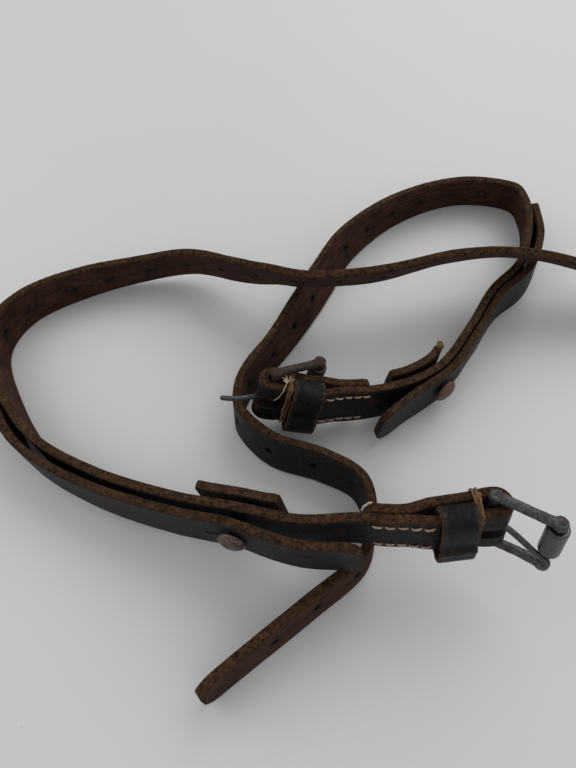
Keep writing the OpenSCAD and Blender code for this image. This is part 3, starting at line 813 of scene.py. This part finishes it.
def make_frame(o):
    """Two bars, two side bars and an eye at each corner, welded. The front eyes have rivets."""
    p, x, y, z = o.heel(o.swing)
    parts = []
    dome = [(0, 1.0), (1.15, 1.05), (1.05, 1.45), (0.75, 1.7), (0.3, 1.82), (0.0, 1.84)]
    for at in (0, REACH):
        bar = [p + at * x + k * z for k in np.linspace(-SIDE_BAR_Z - 1, SIDE_BAR_Z + 1, 30)]
        parts.append(tube("bar", bar, WIRE_D / 2 - 0.03, 24))
        for k in (-1, 1):
            centre = p + at * x + k * SIDE_BAR_Z * z
            eye = WIRE_D / 2 + (0.62 if at else 0.5)
            parts.append(lathe("eye", centre, z, disc_rows(eye, 1.22, 0.5), 40))
            if at:
                parts.append(lathe("rivet", centre, k * z, dome, 28))
    ts = np.linspace(0, 1, 24)
    for k in (-1, 1):
        side = [p + REACH * t * x + k * (SIDE_BAR_Z + 0.12 * math.sin(math.pi * t)) * z
                + 0.12 * math.sin(5 * t + k) * y for t in ts]
        thick = [1.52 - 0.17 * math.sin(math.pi * t) for t in ts]
        parts.append(tube("side", side, thick, 24))
    obj = fused(joined(f"{o.side}_frame_wire", parts), 0.13)
    hammer(obj, 0.07, 0.7, o.sign * 5.0)
    return finish_piece(obj, o.side, "buckle_frame", "buckle", FRAME_STEEL[o.side])


def make_roller(o):
    """A sleeve with worn lips, turning on the front bar."""
    p, x, _, z = o.heel(o.swing)
    centre = p + REACH * x + ROLLER_RISE * z
    r, bore, h = ROLLER_D / 2 + 0.2, WIRE_D / 2 + RUNNING_GAP, ROLLER_LEN / 2 + 0.9
    rows = [(bore, -h + 0.15), (bore + 0.2, -h), (r - 0.3, -h), (r - 0.08, -h + 0.1),
            (r, -h + 0.35), (r, -h + 1.5), (r - 0.02, 0), (r, h - 1.5), (r, h - 0.35),
            (r - 0.08, h - 0.1), (r - 0.3, h), (bore + 0.2, h), (bore, h - 0.15),
            (bore, -h + 0.15)]
    obj = lathe(f"{o.side}_roller_metal", centre, z, rows, 72)
    m = obj.modifiers.new("fine", "SUBSURF")
    m.levels = m.render_levels = 1
    applied(obj)
    hammer(obj, 0.03, 0.5, o.sign * 8.0)
    return finish_piece(obj, o.side, "roller", "bar_roller", ROLLER_STEEL[o.side])


def make_tongue(o):
    """Wire wrapped round the heel bar, then straight out and over the front bar."""
    p, x, y, z = o.heel(o.tongue)
    r = WIRE_D / 2 + RUNNING_GAP + TONGUE_D / 2 - 0.25
    tip_y = -(WIRE_D + TONGUE_D) / 2 - 0.5
    tip = np.array([REACH + 1.1, tip_y, -o.drop])
    pts, radii = [], []
    for a in np.radians(np.arange(-300, -9, 12)):
        pts.append(p + r * math.cos(a) * x + r * math.sin(a) * y
                   + 0.5 * math.copysign(1, o.drop) * (a / math.pi + 0.8) * 0.5 * z)
        radii.append(0.62 + 0.2 * fade(a, -5.2, -1.5))
    start = np.array([r + 0.6, -0.25, -0.04 * o.drop])
    for t in np.linspace(0, 1, 30):
        q = start + (tip - start) * t
        q = q + np.array([0, 0.35 * math.sin(math.pi * t), 0.25 * math.sin(2.2 * math.pi * t)])
        pts.append(p + q[0] * x + q[1] * y + q[2] * z)
        radii.append(0.9 - 0.14 * t)
    pts.append(pts[-1] + 0.35 * unit(pts[-1] - pts[-2]))
    radii.append(0.45)
    smooth_pts = smooth_line(pts, 3)
    rr = np.interp(np.linspace(0, 1, len(smooth_pts)), np.linspace(0, 1, len(radii)), radii)
    obj = tube(f"{o.side}_tongue_wire", smooth_pts, rr, 20)
    outward(obj)
    hammer(obj, 0.05, 0.8, o.sign * 4.0)
    return finish_piece(obj, o.side, "tongue", "buckle_tongue", TONGUE_STEEL)


for strap in (RIGHT, LEFT):
    make_main(strap)
    make_overlay(strap)
    make_patch(strap)
    make_keeper(strap)
    make_stitches(strap, "upper_stitches", ROW_HEIGHT)
    make_stitches(strap, "lower_stitches", -ROW_HEIGHT)
    make_join_stitches(strap)
    make_binding(strap)
    make_stud(strap)
    make_washer(strap)
    make_frame(strap)
    make_roller(strap)
    make_tongue(strap)


# ---- Loose threads and scraps ----------------------------------------------

def wisp(name, points, r, side, mat, n=10, jitter=0.0, seed=0.0):
    """A loose thread through the points, thinner at its ends."""
    pts = smooth_line(points, n)
    for i in range(len(pts)):
        pts[i] += jitter * np.array([grit(i * 0.3, seed), grit(i * 0.3, seed + 7),
                                     grit(i * 0.3, seed + 13)])
    ends = np.interp(np.arange(len(pts)), [0, 3, len(pts) - 4, len(pts) - 1], [0.4, 1, 1, 0.3])
    obj = tube(name, pts, r * ends, 8)
    return trimming(obj, side, mat)


THREAD_TOP = STRAP_W / 2 + 0.5
NEAR_FACE = half_apart(5) + STRAP_T / 2


def right_threads():
    """A frayed knot on the far top edge by the fold, and the ends that hang from it."""
    o, top, lay = RIGHT, THREAD_TOP, NEAR_FACE
    knot = [o.spot(3.8 + 1.3 * grit(i * 0.9, 1.5, 0.2), MID - 1.5 + 1.6 * grit(i * 0.8, 6.5, 0.4),
                   top + 0.4 + 0.9 * abs(grit(i * 0.85, 9.5, 0.7))) for i in range(16)]
    wisp("right_frayed_knot", knot, 0.22, "right", FRAYED, 6)
    hanging = [o.spot(4.0, MID - 1, top + 0.4), o.spot(3.2, MID - lay, top - 0.4),
               o.spot(2.6, MID - lay - 0.6, 6), o.spot(1.8, MID - lay - 0.7, 4),
               o.spot(0.9, MID - lay - 0.8, 2.9)]
    wisp("right_hanging_end", hanging, 0.16, "right", FRAYED, 10, 0.15, 2.0)
    for k in range(5):
        a = 0.9 * k
        fray = [o.spot(3.9, MID - 1.5, top + 0.5),
                o.spot(3.9 + math.cos(a), MID - 1.5 + math.sin(a), top + 1.3),
                o.spot(3.9 + 2.0 * math.cos(a + 0.3), MID - 1.5 + 1.8 * math.sin(a + 0.3),
                       top + 1.5)]
        wisp(f"right_fray_{k}", fray, 0.11, "right", FRAYED, 8, 0.3, 5.0 + k)
    loop = [o.spot(4.6, MID + 1, top + 0.2), o.spot(4.9, MID - 2, top + 0.5),
            o.spot(4.6, MID - lay - 0.4, 6), o.spot(5.0, MID - lay - 0.5, 2),
            o.spot(4.4, MID - lay - 0.6, -2.5)]
    wisp("right_brown_loop", loop, 0.28, "right", BINDING, 10, 0.25, 4.0)


def right_scrap():
    """A torn scrap of leather standing up from the end of the stud patch."""
    o = RIGHT
    s = o.patch + PATCH_LEN / 2
    rings = []
    for t in np.linspace(0, 1, 14):
        c = o.section(s - 1.5 + 3.0 * t)
        centre = (c[0] + (4.2 + 1.2 * t) * c[2]
                  + (STRAP_W / 2 + 0.4 + 0.5 * math.sin(5 * t)) * c[3])
        half = 0.9 + 0.5 * math.sin(3 * t + 0.3)
        rings.append((centre, unit(c[3] + 0.5 * c[2]), unit(c[2] - 0.5 * c[3]), half, 3 * t))
    obj = ribbon("right_patch_scrap", rings, 0.45, across=5, bevel=0.25, wear=0.6, seed=2.7)
    trimming(obj, "right", SCRAP_LEATHER)


def left_threads():
    """Thicker binding thread on the near face, and a frayed end by the returned layer."""
    o, top, lay = LEFT, THREAD_TOP, NEAR_FACE
    for k in range(2):
        strand = [o.spot(3.6 + 0.5 * k, MID + lay - 1.2, top - 0.05),
                  o.spot(4.1, MID, top + 0.25), o.spot(4.6 + 0.3 * k, MID - lay - 0.1, top - 0.3),
                  o.spot(4.9, MID - lay - 0.55, 5), o.spot(4.4 + 0.4 * k, MID - lay - 0.55, 1.5),
                  o.spot(5.0, MID - lay - 0.5, -1.5 - k), o.spot(4.6, MID - lay - 0.3, -4)]
        wisp(f"left_thick_binding_{k}", strand, 0.34 - 0.06 * k, "left", BINDING, 12, 0.35,
             3.0 + 4 * k)
    half = STRAP_W / 2
    fray = [o.spot(RETURN_LEN - 0.5, MID + 2.8, half - 0.5),
            o.spot(RETURN_LEN + 0.5, MID + 2.0, half + 0.3),
            o.spot(RETURN_LEN + 1.6, MID + 1.0, half - 0.1),
            o.spot(RETURN_LEN + 1.9, MID + 0.4, half - 2.0)]
    wisp("left_return_fray", fray, 0.3, "left", FRAYED, 8, 0.3, 8.0)


right_threads()
right_scrap()
left_threads()


# ---- Stage, light and camera -----------------------------------------------

def make_stage():
    """A pale matt table with a few dark specks."""
    n = Nodes("table_top")
    place = n.add("TexCoord").outputs["Object"]
    broad = n.noise(place, 3.0, 3.0, 0.5)
    specks = n.noise(place, 420.0, 2.0, 0.5)
    colour = n.mix(n.ramp(broad, 0.3, 0.7), (0.60, 0.60, 0.59), (0.64, 0.635, 0.63))
    colour = n.mix(n.math("MULTIPLY", n.ramp(specks, 0.74, 0.80), 0.35), colour,
                   (0.30, 0.29, 0.28))
    n.out(colour, 0.55, n.bump(n.noise(place, 700.0, 3.0, 0.6), 0.15, 0.15), specular=0.3)
    verts = [(-1500, -1200, -0.02), (1500, -1200, -0.02), (1500, 1800, -0.02),
             (-1500, 1800, -0.02)]
    floor = new_object("table_top", verts, [(0, 1, 2, 3)], smooth=False)
    floor.data.materials.append(n.mat)


def area_light(name, place, target, size, power, colour):
    """A soft rectangular lamp that faces the target."""
    data = bpy.data.lights.new(name, "AREA")
    data.shape, data.size, data.size_y = "RECTANGLE", size[0], size[1]
    data.energy, data.color = power, colour
    obj = bpy.data.objects.new(name, data)
    bpy.context.scene.collection.objects.link(obj)
    obj.location = place
    obj.rotation_euler = (Vector(target) - Vector(place)).to_track_quat("-Z", "Y").to_euler()


make_stage()
world = bpy.data.worlds.new("room")
bpy.context.scene.world = world
world.use_nodes = True
world.node_tree.nodes["Background"].inputs["Color"].default_value = (0.98, 0.985, 1.0, 1)
world.node_tree.nodes["Background"].inputs["Strength"].default_value = 0.62
area_light("window", (0.55, 0.75, 0.95), (0, 0, 0), (1.1, 0.9), 6.5, (1.0, 0.99, 0.98))
area_light("fill", (-0.9, 0.2, 0.8), (0, 0, 0), (0.8, 0.8), 2.0, (1.0, 1.0, 0.97))

camera_data = bpy.data.cameras.new("camera")
camera_data.lens, camera_data.sensor_width = 27.05, 36.0
camera_data.clip_start, camera_data.clip_end = 0.01, 10.0
camera = bpy.data.objects.new("camera", camera_data)
bpy.context.scene.collection.objects.link(camera)
camera.location = (-0.017, -0.104, 0.176)
camera.rotation_euler = (math.radians(31.5), 0, 0)
bpy.context.scene.camera = camera
bpy.context.scene.view_settings.view_transform = "Standard"
